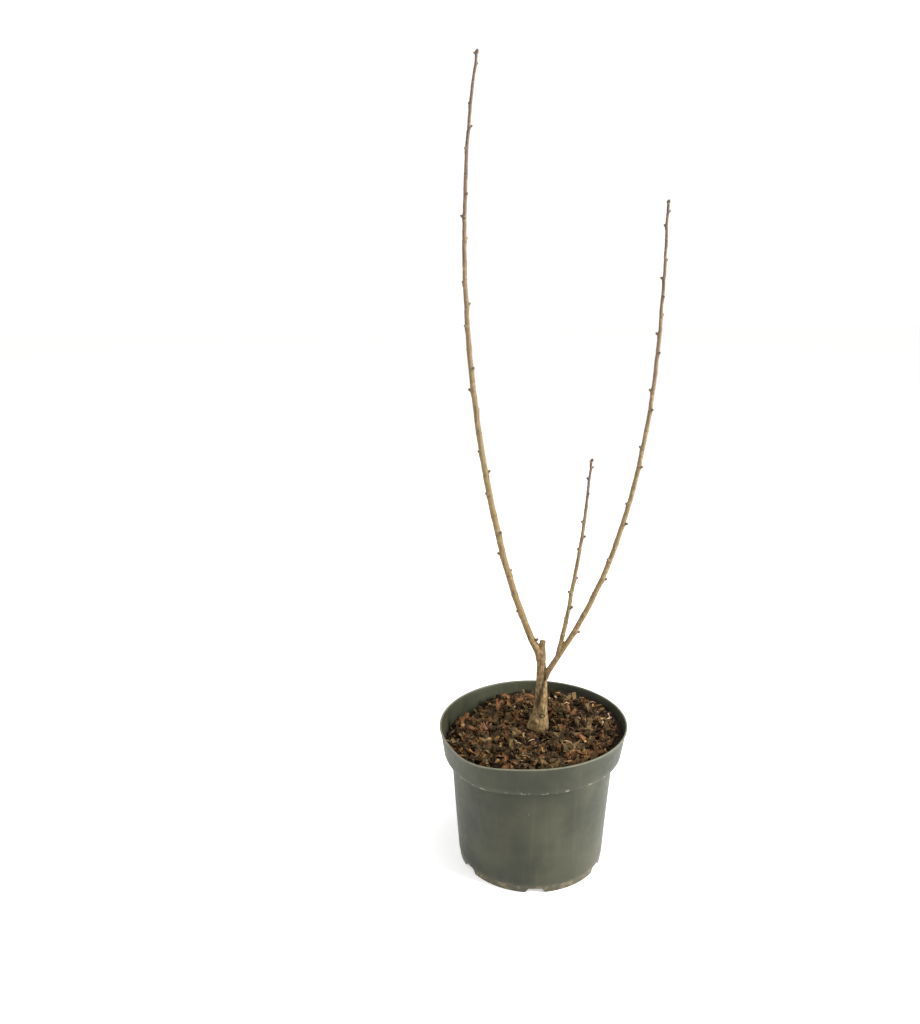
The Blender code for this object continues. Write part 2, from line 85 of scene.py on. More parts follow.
class Wire:
    """A socket in a material: Python's operators on it add the Math nodes."""

    def __init__(self, tree, socket):
        self.tree, self.socket = tree, socket

    def node(self, kind, settings, values, result=0):
        """Add a node with its settings, then the values or links of its sockets."""
        made = self.tree.nodes.new(kind)
        for name, value in settings.items():
            if name == "stops":
                for _ in range(len(value) - 2):
                    made.color_ramp.elements.new(0.5)
                for stop, (place, color) in zip(made.color_ramp.elements, value):
                    stop.position = place
                    stop.color = (*color, 1.0)
            else:
                setattr(made, name, value)
        for name, value in values.items():
            if isinstance(value, Wire):
                self.tree.links.new(value.socket, made.inputs[name])
            else:
                made.inputs[name].default_value = value
        return Wire(self.tree, made.outputs[result])

    def __add__(self, other):
        return self.node("ShaderNodeMath", {"operation": "ADD"}, {0: self, 1: other})

    def __mul__(self, other):
        return self.node("ShaderNodeMath", {"operation": "MULTIPLY"}, {0: self, 1: other})

    __radd__, __rmul__ = __add__, __mul__

    def step(self, low, high):
        """0 below low, 1 above high and smooth between; the other way round where low is higher."""
        return self.node("ShaderNodeMapRange", {"interpolation_type": "SMOOTHSTEP"},
                         {"Value": self, "From Min": low, "From Max": high}, "Result")

    def mix(self, color, other):
        """From one colour to another as this value goes from 0 to 1."""
        sides = [side if isinstance(side, Wire) else (*side, 1.0) for side in (color, other)]
        return self.node("ShaderNodeMix", {"data_type": "RGBA"},
                         {0: self, 6: sides[0], 7: sides[1]}, 2)

    def ramp(self, stops):
        """Run through a row of colours as this value goes from 0 to 1."""
        return self.node("ShaderNodeValToRGB", {"stops": stops}, {0: self})

    def stretched(self, x, y, z):
        """The place with each axis scaled, so that a pattern on it is drawn out."""
        return self.node("ShaderNodeVectorMath", {"operation": "MULTIPLY"}, {0: self, 1: (x, y, z)})

    def grain(self, scale, detail=3.0):
        """Cloudy noise, around 0.5."""
        return self.node("ShaderNodeTexNoise", {}, {"Vector": self, "Scale": scale, "Detail": detail},
                         "Fac")

    def spots(self, scale):
        """Distance to the nearest of many scattered spots."""
        return self.node("ShaderNodeTexVoronoi", {}, {"Vector": self, "Scale": scale}, "Distance")

    def height(self):
        """How high the place lies."""
        return self.node("ShaderNodeSeparateXYZ", {}, {0: self}, "Z")


def start_finish(name):
    """A new material's shader, and the place on the piece."""
    finish = bpy.data.materials.new(name)
    finish.use_nodes = True
    tree = finish.node_tree
    place = tree.nodes.new("ShaderNodeTexCoord")
    return finish, tree.nodes["Principled BSDF"], Wire(tree, place.outputs["Object"])


def lay_on(shader, color, roughness, bump, depth):
    """Link a finish's colour, roughness and relief to its shader."""
    relief = bump.node("ShaderNodeBump", {}, {"Height": bump, "Distance": depth, "Strength": 1.0})
    for name, wire in (("Base Color", color), ("Roughness", roughness), ("Normal", relief)):
        bump.tree.links.new(wire.socket, shader.inputs[name])


def turned(name, profile, sides):
    """Raise a shell ring by ring along a profile, from one filled disc to another."""
    (radius, height), rest = profile[0], profile[1:]
    bpy.ops.object.select_all(action="DESELECT")
    bpy.ops.mesh.primitive_circle_add(vertices=sides, radius=radius, fill_type="NGON",
                                      location=(0, 0, height))
    bpy.ops.object.transform_apply(location=True)
    shell = bpy.context.object
    shell.name = name
    bpy.ops.object.mode_set(mode="EDIT")
    bpy.ops.mesh.select_all(action="SELECT")
    for next_radius, next_height in rest:
        lift = {"value": (0, 0, next_height - height)}
        bpy.ops.mesh.extrude_region_move(TRANSFORM_OT_translate=lift)
        grow = next_radius / radius
        bpy.ops.transform.resize(value=(grow, grow, 1), center_override=(0, 0, next_height))
        radius, height = next_radius, next_height
    bpy.ops.mesh.select_all(action="SELECT")
    bpy.ops.mesh.normals_make_consistent(inside=False)
    bpy.ops.object.mode_set(mode="OBJECT")
    return shell


def finer(profile, step):
    """The same profile with rings added along its long runs."""
    points = [profile[0]]
    for (radius, height), (next_radius, next_height) in zip(profile, profile[1:]):
        count = max(1, round(math.hypot(next_radius - radius, next_height - height) / step))
        for index in range(1, count + 1):
            share = index / count
            points.append((radius + (next_radius - radius) * share,
                           height + (next_height - height) * share))
    return points


def out_of_round(place):
    """Where a point of the round pot lies once the soft rim is pressed out of shape."""
    angle = math.atan2(place.y, place.x)
    share = max(0.0, place.z / POT_HEIGHT) ** 2
    off_corner = (angle - CORNER_TURN + math.pi) % (2 * math.pi) - math.pi
    stretch = (OVAL * math.cos(2 * (angle - OVAL_TURN)) + LOBES * math.cos(3 * (angle - LOBES_TURN))
               + CORNER * math.exp(-(off_corner / CORNER_SPREAD) ** 2))
    moved = place + RIM_SHIFT * share
    moved.x += place.x * stretch * share
    moved.y += place.y * stretch * share
    return moved


def notch_blocks(grow):
    """A block for each water slot, wider at the bottom and grown by a margin."""
    lean = NOTCH_SPLAY / NOTCH_HEIGHT
    bottom = WALL / 2 if grow else -NOTCH_REACH
    blocks = []
    for index in range(NOTCHES):
        bpy.ops.mesh.primitive_cube_add(size=1.0)
        block = bpy.context.object
        for corner in block.data.vertices:
            high = corner.co.z > 0
            height = NOTCH_HEIGHT + grow if high else bottom
            half = NOTCH_WIDTH / 2 - lean * height + grow * math.hypot(1, lean)
            inset = WALL * (0.5 if high else 1.25)
            outer = FOOT_RADIUS - inset if grow else FOOT_RADIUS + NOTCH_REACH
            along = outer if corner.co.x > 0 else FOOT_RADIUS - NOTCH_DEPTH - grow
            corner.co = Vector((along, math.copysign(half, corner.co.y), height))
        block.data.transform(Matrix.Rotation(NOTCH_TURN + index * 2 * math.pi / NOTCHES, 4, "Z"))
        blocks.append(block)
    return blocks


def join(pieces, name):
    """Join meshes to one object."""
    bpy.ops.object.select_all(action="DESELECT")
    for piece in pieces:
        piece.select_set(True)
    bpy.context.view_layer.objects.active = pieces[0]
    bpy.ops.object.join()
    bpy.context.object.name = name
    return bpy.context.object


def add_modifier(piece, kind, **settings):
    """Put a modifier on a piece and apply it."""
    bpy.context.view_layer.objects.active = piece
    change = piece.modifiers.new(kind.lower(), kind)
    for name, value in settings.items():
        setattr(change, name, value)
    bpy.ops.object.modifier_apply(modifier=change.name)


ledge = POT_HEIGHT - BAND_HEIGHT
outer = [(FOOT_RADIUS - 0.0014, 0.0), (FOOT_RADIUS - 0.0004, FOOT_CHAMFER),
         (FOOT_RADIUS + 0.0002, FOOT_STEP - 0.0009), (FOOT_RADIUS + 0.0008, FOOT_STEP),
         (NECK_RADIUS, ledge), (BAND_FOOT_RADIUS - 0.0010, ledge),
         (BAND_FOOT_RADIUS, ledge + LEDGE_ROUNDING),
         (RIM_RADIUS - 0.0004, POT_HEIGHT - LIP_HEIGHT - 0.0008),
         (RIM_RADIUS + LIP_REACH, POT_HEIGHT - LIP_HEIGHT), (RIM_RADIUS + LIP_REACH, POT_HEIGHT)]
inner = [(RIM_RADIUS - WALL + 0.0004, POT_HEIGHT), (BAND_FOOT_RADIUS - WALL, ledge + WALL),
         (NECK_RADIUS - WALL, ledge + WALL), (FOOT_RADIUS - WALL + 0.0005, FOOT_STEP),
         (FOOT_RADIUS - 0.0030, WALL), (FLOOR_DISC, WALL)]
pot = turned("nursery_pot", finer(outer + inner, RING_STEP), POT_SIDES)
liners = join(notch_blocks(WALL), "liners")
add_modifier(pot, "BOOLEAN", operation="UNION", object=liners)
slots = join(notch_blocks(0.0), "slots")
add_modifier(pot, "BOOLEAN", operation="DIFFERENCE", object=slots)
for tool in (liners, slots):
    bpy.data.objects.remove(tool)
for vertex in pot.data.vertices:
    vertex.co = out_of_round(vertex.co)
add_modifier(pot, "BEVEL", width=EDGE_ROUNDING, segments=2, limit_method="ANGLE",
             angle_limit=BEVEL_ANGLE)
bpy.ops.object.select_all(action="DESELECT")
pot.select_set(True)
bpy.ops.object.shade_smooth_by_angle(angle=SMOOTH_ANGLE)

plastic, shader, place = start_finish("scuffed_plastic")
height = place.height()
streaks = place.stretched(*STREAKS).grain(1.0, 4.0)
cloud = place.grain(CLOUD_SCALE)
patches = place.grain(PATCH_SCALE, 4.0)
scratches = place.stretched(*SCRATCHES).grain(1.0, 1.0)
color = cloud.step(0.32, 0.68).mix(PLASTIC_DARK, PLASTIC)
color = (streaks.step(0.50, 0.80) * 0.05).mix(color, PLASTIC_WEAR_AND_HIGHLIGHT)
band_edge = height.step(ledge - 0.0012, ledge + 0.0008) * height.step(ledge + 0.0042, ledge + 0.0012)
color = (band_edge * patches.step(0.50, 0.60) * 0.8).mix(color, PLASTIC_WEAR_AND_HIGHLIGHT)
# The top of the lip is painted pale in patches: partly scuffing, partly a painted highlight along the
# edge.
lip_wear_and_highlight = height.step(POT_HEIGHT - LIP_HEIGHT - 0.0002, POT_HEIGHT - 0.0004)
color = (lip_wear_and_highlight * (0.35 + 0.5 * patches)).mix(color, PLASTIC_WEAR_AND_HIGHLIGHT)
foot_wear = height.step(CLEAN_FOOT, WORN_FOOT) * (0.25 + 0.75 * patches.step(0.46, 0.64))
color = (foot_wear * 0.75).mix(color, DUST)
color = (scratches.step(0.79, 0.81) * 0.6).mix(color, PLASTIC_WEAR_AND_HIGHLIGHT)
specks = place.spots(SPECK_SCALE).step(0.10, 0.06) * patches.step(0.60, 0.66)
color = (specks * 0.8).mix(color, DUST)
relief = 0.5 * place.grain(STIPPLE_SCALE, 2.0) + 0.08 * streaks + 0.5 * cloud
lay_on(shader, color, 0.36 + 0.22 * patches, relief, PLASTIC_RELIEF)
shader.inputs["Specular IOR Level"].default_value = PLASTIC_SHINE
pot.data.materials.append(plastic)
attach(pot, "root")
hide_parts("pot")

# Potting mix: a dark block of peat and fine bark that fills the pot up to the mulch. It is the
# frame's own piece, hidden by the pot and the mulch, and only gets its finish here.
MIX_DARK, MIX_LIGHT = (0.030, 0.020, 0.014), (0.085, 0.055, 0.036)
PEAT_SCALE, PEAT_SPOTS, PEAT_RELIEF = 420.0, 300.0, 0.0012
peat, shader, place = start_finish("damp_peat")
crumb = place.grain(PEAT_SCALE, 5.0)
lay_on(shader, crumb.step(0.40, 0.66).mix(MIX_DARK, MIX_LIGHT), 0.82 + 0.15 * crumb,
       crumb + place.spots(PEAT_SPOTS), PEAT_RELIEF)
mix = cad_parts["potting_mix"]
mix.data.materials.clear()
mix.data.materials.append(peat)

# Mulch bed: fine bark and crumbs under the chips, poured on the mix by hand, so it lies uneven,
# higher at the right and the back, with a hollow at the left and a flat place at the trunk.
MULCH_LEVEL = 0.1570
MULCH_RISE = Vector((0.075, 0.060, 0.0))
MULCH_DIP = 0.0010
HOLLOW, HOLLOW_DEPTH, HOLLOW_SPREAD = Vector((-0.072, 0.074, 0.0)), 0.0070, 0.024
MULCH_LUMPS = 0.0042
LUMP_SCALE, GRAIN_SCALE, LUMP_SLICE, GRAIN_SLICE = 95, 210, 0.03, 0.04
SEAT_LEVEL, SEAT_RADIUS = 0.1582, 0.0250
TRUNK_FOOT = Vector((0.0102, 0.0170, SEAT_LEVEL))
BED_RINGS, BED_SIDES = 46, 150
BED_DEPTH, BED_GAP, LEAST_COVER, SETTLING = 0.010, 0.0003, 0.0025, 0.006
BED_SPREAD, BED_SMOOTH_ANGLE = 1.03, math.radians(50)
CRUMB_RELIEF, CRUMB_SCALE, FINE_SCALE = 0.0011, 480, 900
FLECK_SCALE, PIT_SCALE, BED_BUMP = 520.0, 340.0, 0.0016
BARK_SHINE = 0.15
BED_COLORS = ((0.0, (0.005, 0.003, 0.002)), (0.45, (0.016, 0.010, 0.007)),
              (0.72, (0.042, 0.024, 0.015)), (1.0, (0.090, 0.056, 0.033)))


def wall_radius(height):
    """Inside radius of the round pot at a height in its band."""
    share = (height - ledge - WALL) / (BAND_HEIGHT - WALL)
    return BAND_FOOT_RADIUS + (RIM_RADIUS - BAND_FOOT_RADIUS) * max(0.0, share) - WALL


def mulch_height(spot):
    """Height of the bark's surface at a point in plan."""
    away = (spot.xy - TRUNK_FOOT.xy).length
    edge = min(1.0, spot.xy.length / RIM_RADIUS)
    level = MULCH_LEVEL + MULCH_RISE.dot(spot) - MULCH_DIP * edge ** 6
    level -= HOLLOW_DEPTH * math.exp(-((spot.xy - HOLLOW.xy).length / HOLLOW_SPREAD) ** 2)
    lump = noise.noise(Vector((spot.x, spot.y, LUMP_SLICE)) * LUMP_SCALE)
    lump += 0.5 * noise.noise(Vector((spot.x, spot.y, GRAIN_SLICE)) * GRAIN_SCALE)
    level = max(level + MULCH_LUMPS * lump, ledge + WALL + LEAST_COVER)
    settle = min(1.0, max(0.0, (away - SEAT_RADIUS) / SETTLING))
    return SEAT_LEVEL + (level - SEAT_LEVEL) * settle


edge_radius = wall_radius(MULCH_LEVEL) - BED_GAP
rings = [(edge_radius * (1 - index / BED_RINGS), MULCH_LEVEL) for index in range(BED_RINGS)]
bed = turned("mulch_bed", [(edge_radius, MULCH_LEVEL - BED_DEPTH)] + rings, BED_SIDES)
for vertex in bed.data.vertices:
    raised = vertex.co.z > MULCH_LEVEL - BED_DEPTH / 2
    spot = out_of_round(vertex.co)
    rough = noise.noise(spot * CRUMB_SCALE) + 0.6 * noise.noise(spot * FINE_SCALE)
    if raised:
        spot.z = mulch_height(spot) + CRUMB_RELIEF * rough
        fit = min(BED_SPREAD, wall_radius(spot.z) / wall_radius(MULCH_LEVEL))
        spot.x, spot.y = spot.x * fit, spot.y * fit
    vertex.co = spot
bpy.ops.object.shade_smooth_by_angle(angle=BED_SMOOTH_ANGLE)
crumbs_finish, shader, place = start_finish("bark_crumbs")
flecks = place.grain(FLECK_SCALE, 6.0)
lay_on(shader, flecks.ramp(BED_COLORS), 0.80 + 0.15 * flecks,
       flecks + 0.8 * place.spots(PIT_SCALE), BED_BUMP)
shader.inputs["Specular IOR Level"].default_value = BARK_SHINE
bed.data.materials.append(crumbs_finish)
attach(bed, "root")
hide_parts("bark_mulch")

# Bark chips: broken, weathered bits of conifer bark and wood, 4 to 25 mm long, thrown on in
# several layers with small crumbs between. They are dark, red-brown, ochre or grey-olive, and a
# few fresh ones are pale. Each kind has its count, its sizes and its dark and light colour.
CHIP_SEED, CHIP_MODELS = 29, 9
CHIP_LENGTH, CHIP_BREADTH, CHIP_THICKNESS = (1.9, 2.8), (0.50, 1.00), (0.14, 0.30)
CHIP_BOW, CHIP_TWIST, CHIP_POINT, CHIP_TILT = 0.28, 0.35, 0.55, 0.62
CHIP_RAGGED, CHIP_UNEVEN, CHIP_LIFT = (0.15, 1.0), (0.6, 1.2), (-0.10, 0.50)
WALL_CLEARANCE, TRUNK_CLEARANCE = 1.20, 0.0135
LAYER_SCALE, PIECE_SCALE, CHIP_GRAIN, CHIP_RELIEF = 230.0, 95.0, 900.0, 0.0010
KINDS = (("dark_chips", 560, (0.0052, 0.0105), (0.018, 0.011, 0.005), (0.085, 0.052, 0.023)),
         ("red_chips", 360, (0.0048, 0.0100), (0.050, 0.021, 0.008), (0.190, 0.088, 0.034)),
         ("ochre_chips", 230, (0.0035, 0.0075), (0.130, 0.072, 0.022), (0.360, 0.215, 0.080)),
         ("olive_chips", 340, (0.0042, 0.0095), (0.050, 0.033, 0.013), (0.180, 0.120, 0.050)),
         ("pale_chips", 30, (0.0025, 0.0050), (0.300, 0.200, 0.110), (0.520, 0.390, 0.240)),
         ("small_crumbs", 1500, (0.0012, 0.0026), (0.014, 0.009, 0.006), (0.110, 0.062, 0.034)))


def chip_model(draw):
    """One flat, broken bit of bark with a few dozen faces."""
    bpy.ops.object.select_all(action="DESELECT")
    bpy.ops.mesh.primitive_cube_add(size=1.0)
    model = bpy.context.object
    bpy.ops.object.mode_set(mode="EDIT")
    bpy.ops.mesh.select_all(action="SELECT")
    bpy.ops.mesh.subdivide(number_cuts=1)
    bpy.ops.object.mode_set(mode="OBJECT")
    long, wide, thick = [draw.uniform(*span) for span in (CHIP_LENGTH, CHIP_BREADTH, CHIP_THICKNESS)]
    bow, twist = draw.uniform(-CHIP_BOW, CHIP_BOW), draw.uniform(-CHIP_TWIST, CHIP_TWIST)
    for vertex in model.data.vertices:
        corner = vertex.co
        shrink = 1 - CHIP_POINT * (abs(corner.x) + abs(corner.y)) * draw.uniform(*CHIP_RAGGED)
        corner.x *= long * shrink
        corner.y *= wide * shrink
        corner.z *= thick * draw.uniform(*CHIP_UNEVEN)
        corner.z += bow * corner.x ** 2 + twist * corner.x * corner.y
    return model


def strew(name, models, places):
    """Copies of a few models at many places, joined to one mesh."""
    points, faces = [], []
    for index, matrix in enumerate(places):
        mesh = models[index % len(models)].data
        start = len(points)
        points += [matrix @ vertex.co for vertex in mesh.vertices]
        faces += [[start + corner for corner in face.vertices] for face in mesh.polygons]
    mesh = bpy.data.meshes.new(name)
    mesh.from_pydata(points, [], faces)
    piece = bpy.data.objects.new(name, mesh)
    bpy.context.scene.collection.objects.link(piece)
    return piece


def chip_place(draw, sizes, tilt):
    """Where one chip lies: on the mulch, clear of the wall and of the trunk."""
    size = draw.uniform(*sizes)
    while True:
        turn = draw.uniform(0, 2 * math.pi)
        reach = edge_radius - WALL_CLEARANCE * size
        out = reach * math.sqrt(draw.random())
        spot = out_of_round(Vector((out * math.cos(turn), out * math.sin(turn), MULCH_LEVEL)))
        if (spot.xy - TRUNK_FOOT.xy).length > TRUNK_CLEARANCE + size:
            break
    spot.z = mulch_height(spot) + draw.uniform(*CHIP_LIFT) * size
    turn = (Matrix.Rotation(draw.uniform(0, 2 * math.pi), 4, "Z")
            @ Matrix.Rotation(draw.gauss(0, tilt), 4, "Y")
            @ Matrix.Rotation(draw.gauss(0, tilt), 4, "X"))
    return Matrix.Translation(spot) @ turn @ Matrix.Scale(size, 4)


draw = random.Random(CHIP_SEED)
chip_models = [chip_model(draw) for _ in range(CHIP_MODELS)]
for name, count, sizes, dark, light in KINDS:
    chips = strew(name, chip_models, [chip_place(draw, sizes, CHIP_TILT) for _ in range(count)])
    finish, shader, place = start_finish(name)
    layers = place.stretched(1, 1, 3).grain(LAYER_SCALE, 5.0)
    pieces = place.grain(PIECE_SCALE, 1.0)
    color = (0.45 * layers + 0.55 * pieces).step(0.34, 0.64).mix(dark, light)
    lay_on(shader, color, 0.72 + 0.2 * layers, layers + 0.5 * place.grain(CHIP_GRAIN), CHIP_RELIEF)
    shader.inputs["Specular IOR Level"].default_value = BARK_SHINE
    chips.data.materials.append(finish)
    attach(chips, "root")
for model in chip_models:
    bpy.data.objects.remove(model)

# Slivers and twigs: thin splinters of wood and short dry twigs that lie loose on the bark, with
# a fan of reddish stems at the left and a few pale crossed ones at the right edge. Each fan has
# its place, the turns of its stems in degrees, their lean, half their length and their colours.
SLIVERS = 110
SLIVER_LENGTH, SLIVER_WIDTH = (0.006, 0.019), (0.0005, 0.0010)
SLIVER_MARGIN, SLIVER_LIFT, SLIVER_TILT = 0.006, 0.0016, 0.16
SLIVER_TAPER, SLIVER_BOW = 0.55, 3.0
DRY_WOOD = ((0.200, 0.085, 0.035), (0.560, 0.390, 0.220))
DRY_FIBRE = (0.110, 0.045, 0.022)
FIBRE_SCALE, STEM_SCALE, TONE_SCALE, FIBRE_RELIEF = 340.0, 300.0, 38.0, 0.0005
FANS = (("red_stems", Vector((-0.054, 0.012, 0.0)), (62, 84, 101, 118, 152), 0.46, 0.0150,
         (0.110, 0.038, 0.018), (0.360, 0.170, 0.090)),
        ("pale_stems", Vector((0.090, 0.014, 0.0)), (38, 118, 160, 255), 0.16, 0.0130,
         (0.330, 0.210, 0.090), (0.700, 0.560, 0.330)))
FAN_WIDTH, FAN_RISE, FAN_LIFT = 0.0009, 0.0035, 0.3
FAN_LEAN, FAN_LEAN_STEP, FAN_REACH, FAN_REACH_STEP = 0.6, 0.2, 1.15, 0.1
bpy.ops.object.select_all(action="DESELECT")
bpy.ops.mesh.primitive_cylinder_add(vertices=6, radius=1.0, depth=2.0)
splinter = bpy.context.object
bpy.ops.object.mode_set(mode="EDIT")
bpy.ops.mesh.select_all(action="SELECT")
bpy.ops.mesh.subdivide(number_cuts=2)
bpy.ops.object.mode_set(mode="OBJECT")
for vertex in splinter.data.vertices:
    taper = 1 - SLIVER_TAPER * abs(vertex.co.z)
    vertex.co.x = vertex.co.x * taper + SLIVER_BOW * vertex.co.z ** 2
    vertex.co.y *= taper
places = []
for _ in range(SLIVERS):
    spot = chip_place(draw, (SLIVER_MARGIN, SLIVER_MARGIN), 0.0).translation
    spot.z += SLIVER_LIFT
    lie = (Matrix.Rotation(draw.uniform(0, 2 * math.pi), 4, "Z")
           @ Matrix.Rotation(math.pi / 2 + draw.gauss(0, SLIVER_TILT), 4, "Y"))
    width, half = draw.uniform(*SLIVER_WIDTH), draw.uniform(*SLIVER_LENGTH) / 2
    places.append(Matrix.Translation(spot) @ lie @ Matrix.Diagonal((width, width, half, 1)))
slivers = strew("wood_slivers", [splinter], places)
for name, center, turns, lean, half, dark, light in FANS:
    places = []
    for count, turn in enumerate(turns):
        lie = (Matrix.Rotation(math.radians(turn), 4, "Z")
               @ Matrix.Rotation(math.pi / 2 - lean * (FAN_LEAN + FAN_LEAN_STEP * count), 4, "Y"))
        rise = FAN_RISE + FAN_LIFT * lean * half
        spot = center + Vector((0, 0, mulch_height(center) + rise))
        reach = half * (FAN_REACH - FAN_REACH_STEP * count)
        places.append(Matrix.Translation(spot) @ lie
                      @ Matrix.Diagonal((FAN_WIDTH, FAN_WIDTH, reach, 1)))
    stems = strew(name, [splinter], places)
    finish, shader, place = start_finish(name)
    fibres = place.grain(STEM_SCALE, 4.0)
    lay_on(shader, fibres.step(0.35, 0.65).mix(dark, light), 0.6 + 0.3 * fibres, fibres, FIBRE_RELIEF)
    stems.data.materials.append(finish)
    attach(stems, "root")
bpy.data.objects.remove(splinter)
finish, shader, place = start_finish("dry_wood")
fibres = place.grain(FIBRE_SCALE, 4.0)
color = place.grain(TONE_SCALE, 1.0).step(0.40, 0.64).mix(*DRY_WOOD)
color = (fibres.step(0.5, 0.75) * 0.5).mix(color, DRY_FIBRE)
lay_on(shader, color, 0.65 + 0.25 * fibres, fibres, FIBRE_RELIEF)
slivers.data.materials.append(finish)
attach(slivers, "root")

# Trunk and shoots: one living piece of wood. The short grafted trunk flares at its foot, has a
# knot and a callus low down, a sawn stub at its top and a crease under the right branch, darkened
# with painted shade. Two long shoots rise from it, and a thin middle one leaves the right shoot.
TRUNK_BEND = (TRUNK_FOOT, Vector((0.0158, 0.0170, 0.2000)), Vector((0.0146, 0.0166, 0.2350)),
              Vector((0.0108, 0.0164, 0.2500)), Vector((0.0156, 0.0160, 0.2800)))
TRUNK_GIRTH = ((0.0, 0.0134), (0.007, 0.0128), (0.014, 0.0112), (0.024, 0.0089), (0.037, 0.0077),
               (0.056, 0.0069), (0.071, 0.0062), (0.084, 0.0055), (0.097, 0.0054),
               (0.106, 0.0044), (0.113, 0.0037), (0.117, 0.0034))
ROOT_FLARE, ROOT_LOBES, ROOT_TURN, FLARE_HEIGHT = 0.10, 3, math.radians(185), 0.013
KNOT, KNOT_SIZE = Vector((0.0040, -0.0078, 0.0215)), 0.0036
CALLUS, CALLUS_SIZE = Vector((-0.0035, -0.0085, 0.0140)), 0.0040
LEFT_BEND = (Vector((0.0086, 0.0160, 0.2628)), Vector((-0.0300, 0.0300, 0.3294)),
             Vector((-0.1064, 0.0360, 0.6363)), Vector((-0.0581, 0.0200, 0.9244)))
RIGHT_BEND = (Vector((0.0184, 0.0145, 0.2259)), Vector((0.0181, 0.0110, 0.2527)),
              Vector((0.1520, -0.0100, 0.3817)), Vector((0.1285, -0.0280, 0.6551)),
              Vector((0.1325, -0.0300, 0.7747)))
DIVISION = 0.147
MIDDLE_BEND = (Vector((0.0684, 0.0010, 0.4379)), Vector((0.0600, -0.0100, 0.5007)),
               Vector((0.0650, -0.0160, 0.5046)))
TAPER, FOOT_SWELL, FOOT_SWELL_LENGTH = 1.4, 0.0012, 0.012
NODE_SWELL, NODE_LENGTH, KINK = 0.07, 0.0035, 0.0005
TIP_BUD_DROP, TIP_CROWDING, TIP_BUDS = 0.006, 0.58, 0.9
TRUNK_REACH, LEFT_ROOT, LEFT_ROOT_RADIUS = 0.117, 0.084, 0.0045
PATH_STEP = 0.003
SPUR_FOOT, SPUR_FILLET, SPUR_TIP, SPUR_TIP_AGED = 0.62, 0.0006, 0.0009, 0.0004
SPUR_REACH, SPUR_AGED, SPUR_RISE, BUD_SINK = 0.0019, 0.0010, 0.75, 0.0005
CROWN, CROWN_DROP, CROWN_SPREAD, CROWN_TURN = 4, 0.0045, 0.45, 0.4
CROWN_REACH, CROWN_STEP = 0.0012, 0.0004
CREASE_LINE = (Vector((0.0066, 0.0100, 0.1860)), Vector((0.0204, 0.0115, 0.2400)))
CREASE_DIRECTION = (CREASE_LINE[1] - CREASE_LINE[0]).normalized()
CREASE_LENGTH = (CREASE_LINE[1] - CREASE_LINE[0]).length
CREASE_WIDTH, CREASE_DEPTH, CREASE_FADE = 0.0024, 0.0007, 6
RING_RADIUS, RING_THICKNESS, RING_SHIFT = 0.0027, 0.0008, Vector((0.0002, -0.00288, 0.0004))
RING_TURN, RING_BACK = math.radians(80), 0.004
FORK_BUDS = ((Vector((0.0125, 0.0140, 0.2735)), Vector((-0.5, -0.5, 0.7))),
             (Vector((0.0078, 0.0150, 0.2768)), Vector((0.7, -0.4, 0.6))))
FORK_BUD_AGE = 0.9
YOUNG_START, YOUNG_RUN = 0.006, 0.040
WOBBLE, WOBBLE_SCALE, WOBBLE_SEED = 0.0007, 34, 7
VOXEL = 0.0007
RIDGES, WART_SCALE, WART_SHARE = Vector((620, 620, 75)), 420, 0.6
RIDGE_DEPTH, TRUNK_DEPTH, BUD_DEPTH = 0.00022, 0.00022, 0.00015


class Shoot:
    """A long shoot: its bend, its thickness and its buds, counted down from the tip."""

    def __init__(self, bend, girth, first_bud, gap, gap_growth, first_turn, turn):
        self.path, self.girth = walk(bend), girth
        self.length = self.path[-1][0]
        self.buds, place, count = [], self.length - TIP_BUD_DROP, 0
        while place > first_bud:
            self.buds.append((place, math.radians(first_turn + turn * count)))
            crowding = 1 - TIP_CROWDING * math.exp(-count / TIP_BUDS)
            place -= (gap + gap_growth * count) * crowding
            count += 1

    def radius(self, distance):
        """How thick the shoot is at a distance from its foot, as a radius."""
        base, tip = self.girth
        share = min(1.0, max(0.0, distance / self.length))
        thick = tip + (base - tip) * (1 - share ** TAPER)
        thick += FOOT_SWELL * math.exp(-distance / FOOT_SWELL_LENGTH)
        return thick / 2


def bend_point(handles, share):
    """A point on the smooth bend that a row of handles steers."""
    row = list(handles)
    while len(row) > 1:
        row = [here.lerp(there, share) for here, there in zip(row, row[1:])]
    return row[0]


def walk(handles, steps=400):
    """Points along a bend, each with its distance from the start."""
    points = [bend_point(handles, index / steps) for index in range(steps + 1)]
    path, run = [(0.0, points[0])], 0.0
    for here, there in zip(points, points[1:]):
        run += (there - here).length
        path.append((run, there))
    return path


def at_distance(path, distance):
    """The point and the direction of a path at a distance from its start."""
    for (before, here), (after, there) in zip(path, path[1:]):
        if distance <= after:
            break
    share = (distance - before) / (after - before)
    return here.lerp(there, share), (there - here).normalized()


def outward(direction, turn):
    """The unit direction out of a limb's side for a turn about it."""
    side = Vector((math.cos(turn), math.sin(turn), 0.0))
    return (side - direction * side.dot(direction)).normalized()


def tube(name, points, radii):
    """A closed limb along points."""
    curve = bpy.data.curves.new(name, "CURVE")
    curve.dimensions = "3D"
    curve.bevel_depth = 1.0
    curve.bevel_resolution = 6
    curve.use_fill_caps = True
    line = curve.splines.new("POLY")
    line.points.add(len(points) - 1)
    for knot, point, radius in zip(line.points, points, radii):
        knot.co = (*point, 1.0)
        knot.radius = radius
    piece = bpy.data.objects.new(name, curve)
    bpy.context.scene.collection.objects.link(piece)
    bpy.ops.object.select_all(action="DESELECT")
    piece.select_set(True)
    bpy.context.view_layer.objects.active = piece
    bpy.ops.object.convert(target="MESH")
    return bpy.context.object


def trunk_radius(span):
    """The trunk's radius at a distance from its foot."""
    for (before, here), (after, there) in zip(TRUNK_GIRTH, TRUNK_GIRTH[1:]):
        if span <= after:
            break
    return here + (there - here) * min(1.0, max(0.0, (span - before) / (after - before)))


